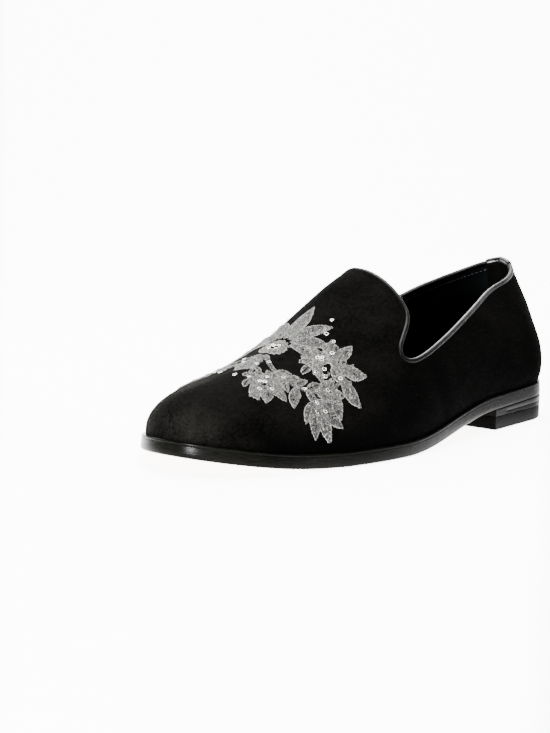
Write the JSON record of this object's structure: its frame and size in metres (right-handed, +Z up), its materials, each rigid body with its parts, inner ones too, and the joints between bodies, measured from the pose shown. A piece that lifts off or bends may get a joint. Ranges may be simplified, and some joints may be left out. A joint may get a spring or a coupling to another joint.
{
  "type": "velvet slipper loafer",
  "caption": "Velvet slipper loafer for the left foot: plain tongued vamp, leather binding round the collar, thin leather sole with a low stacked heel.",
  "frame": {"origin": "centre of the shoe's outline, on the floor that it stands on", "axes": "+X from heel to toe, +Y to the outer side of the foot, +Z up"},
  "size_m": [0.3, 0.1048, 0.0878],
  "materials": {
    "sole_leather": "black painted edge, satin",
    "heel_leather": "black painted stacked leather, satin",
    "heel_rubber": "matt black",
    "sock_leather": "smooth lining leather, dull",
    "velvet": "cut velvet with soft sheen",
    "binding_leather": "smooth, half gloss",
    "tab_leather": "smooth, gloss"
  },
  "bodies": {
    "root": {"outsole": "sole_leather", "heel_lift": "heel_leather", "heel_top_piece": "heel_rubber", "insole": "sock_leather", "upper": "velvet", "topline_binding": "binding_leather", "heel_tab": "tab_leather"}
  },
  "joints": []
}
